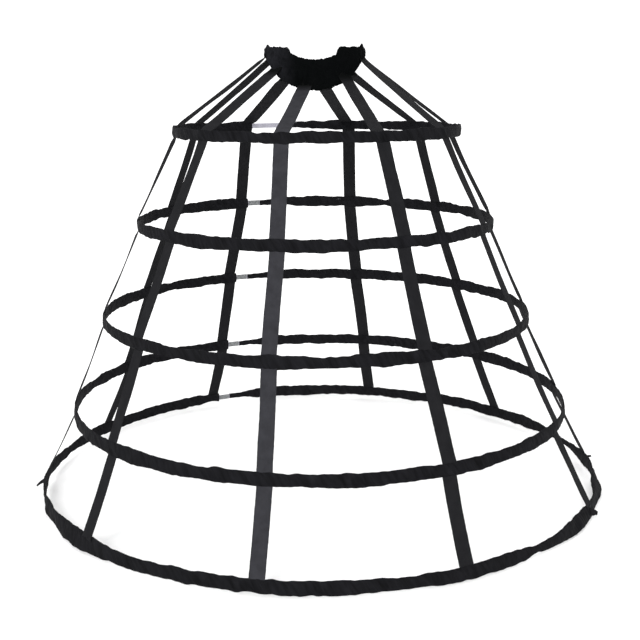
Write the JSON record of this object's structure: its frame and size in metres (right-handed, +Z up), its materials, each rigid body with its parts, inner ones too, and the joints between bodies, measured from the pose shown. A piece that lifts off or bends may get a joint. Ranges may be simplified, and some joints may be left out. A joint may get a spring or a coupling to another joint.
{
  "type": "crinoline cage",
  "caption": "Bell-shaped petticoat frame: flat boning hoops in satin casings, hung on cotton tapes from a gathered velvet waistband.",
  "frame": {"origin": "centre of the waistband's oval, level with the middle of its height, where the wearer's waist holds the cage", "axes": "+Z up along the wearer's body, -Y to the front, +X to the side that is on the right in a front view"},
  "size_m": [1.1266, 1.1265, 0.865],
  "materials": {
    "velvet": "crushed black velvet, matte with a soft sheen",
    "elastic": "woven black elastic",
    "satin": "black polyester satin, soft sheen",
    "cotton_tape": "matte dark grey-black cotton twill tape",
    "coated_bone": "white plastic-coated spring steel, satin",
    "joiner_steel": "thin zinc-plated sheet, dull"
  },
  "bodies": {
    "root": {"waistband_cover": "velvet", "waist_elastic": "elastic", "hoop_1_casing": "satin", "hoop_1_bone": "coated_bone", "hoop_1_joiner": "joiner_steel", "hoop_2_casing": "satin", "hoop_2_bone": "coated_bone", "hoop_2_joiner": "joiner_steel", "hoop_3_casing": "satin", "hoop_3_bone": "coated_bone", "hoop_3_joiner": "joiner_steel", "hoop_4_casing": "satin", "hoop_4_bone": "coated_bone", "hoop_4_joiner": "joiner_steel", "hoop_5_casing": "satin", "hoop_5_bone": "coated_bone", "hoop_5_joiner": "joiner_steel", "tape_front_left": "cotton_tape", "tape_front_right": "cotton_tape", "tape_left_front": "cotton_tape", "tape_right_front": "cotton_tape", "tape_left_side": "cotton_tape", "tape_right_side": "cotton_tape", "tape_left_back": "cotton_tape", "tape_right_back": "cotton_tape", "tape_back_left": "cotton_tape", "tape_back_right": "cotton_tape"}
  },
  "joints": []
}
